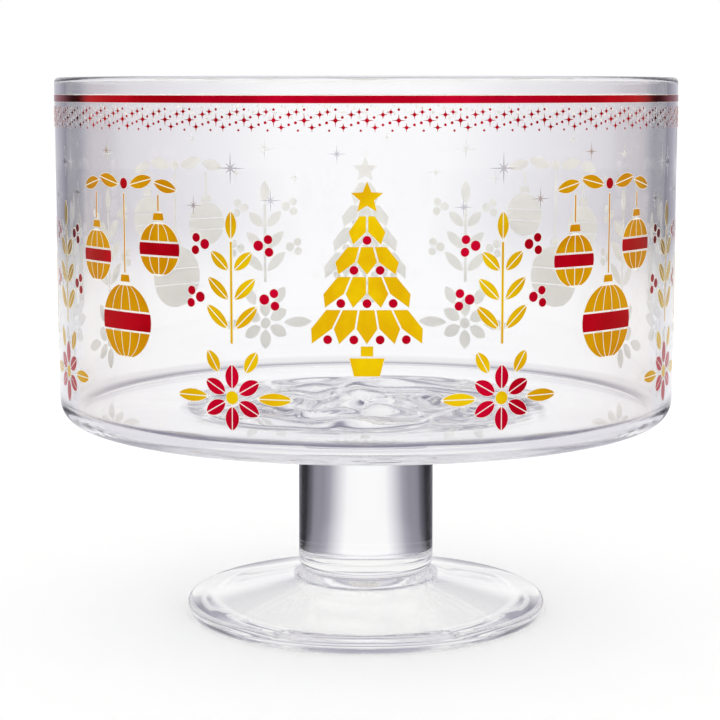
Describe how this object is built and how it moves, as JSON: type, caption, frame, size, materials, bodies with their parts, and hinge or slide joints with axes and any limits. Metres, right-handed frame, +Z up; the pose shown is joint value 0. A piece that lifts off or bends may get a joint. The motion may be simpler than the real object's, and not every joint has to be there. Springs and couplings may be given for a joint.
{
  "type": "trifle bowl",
  "caption": "Footed clear glass trifle bowl with a straight-sided bowl, a solid stem, a low round foot and red, gold and silver foil decoration.",
  "frame": {"origin": "centre of the ring that the foot rests on", "axes": "+Z up along the axis of the bowl, -Y towards the front of the decoration"},
  "size_m": [0.2162, 0.2158, 0.189],
  "materials": {
    "clear_glass": "clear, polished",
    "red_foil": "mirror-bright red foil",
    "gold_foil": "bright gold foil",
    "silver_foil": "satin silver foil"
  },
  "bodies": {
    "root": {"bowl": "clear_glass", "stem": "clear_glass", "foot": "clear_glass", "rim_stripe": "red_foil", "border_lozenges": "red_foil", "fir_tree_foil": "gold_foil", "fir_tree_baubles": "red_foil", "bauble_foil": "gold_foil", "bauble_bands": "red_foil", "candle_foil": "gold_foil", "candle_flames": "red_foil", "spray_foil": "gold_foil", "spray_berries": "red_foil", "flower_petals": "red_foil", "flower_foil": "gold_foil", "silver_stars": "silver_foil"}
  },
  "joints": []
}
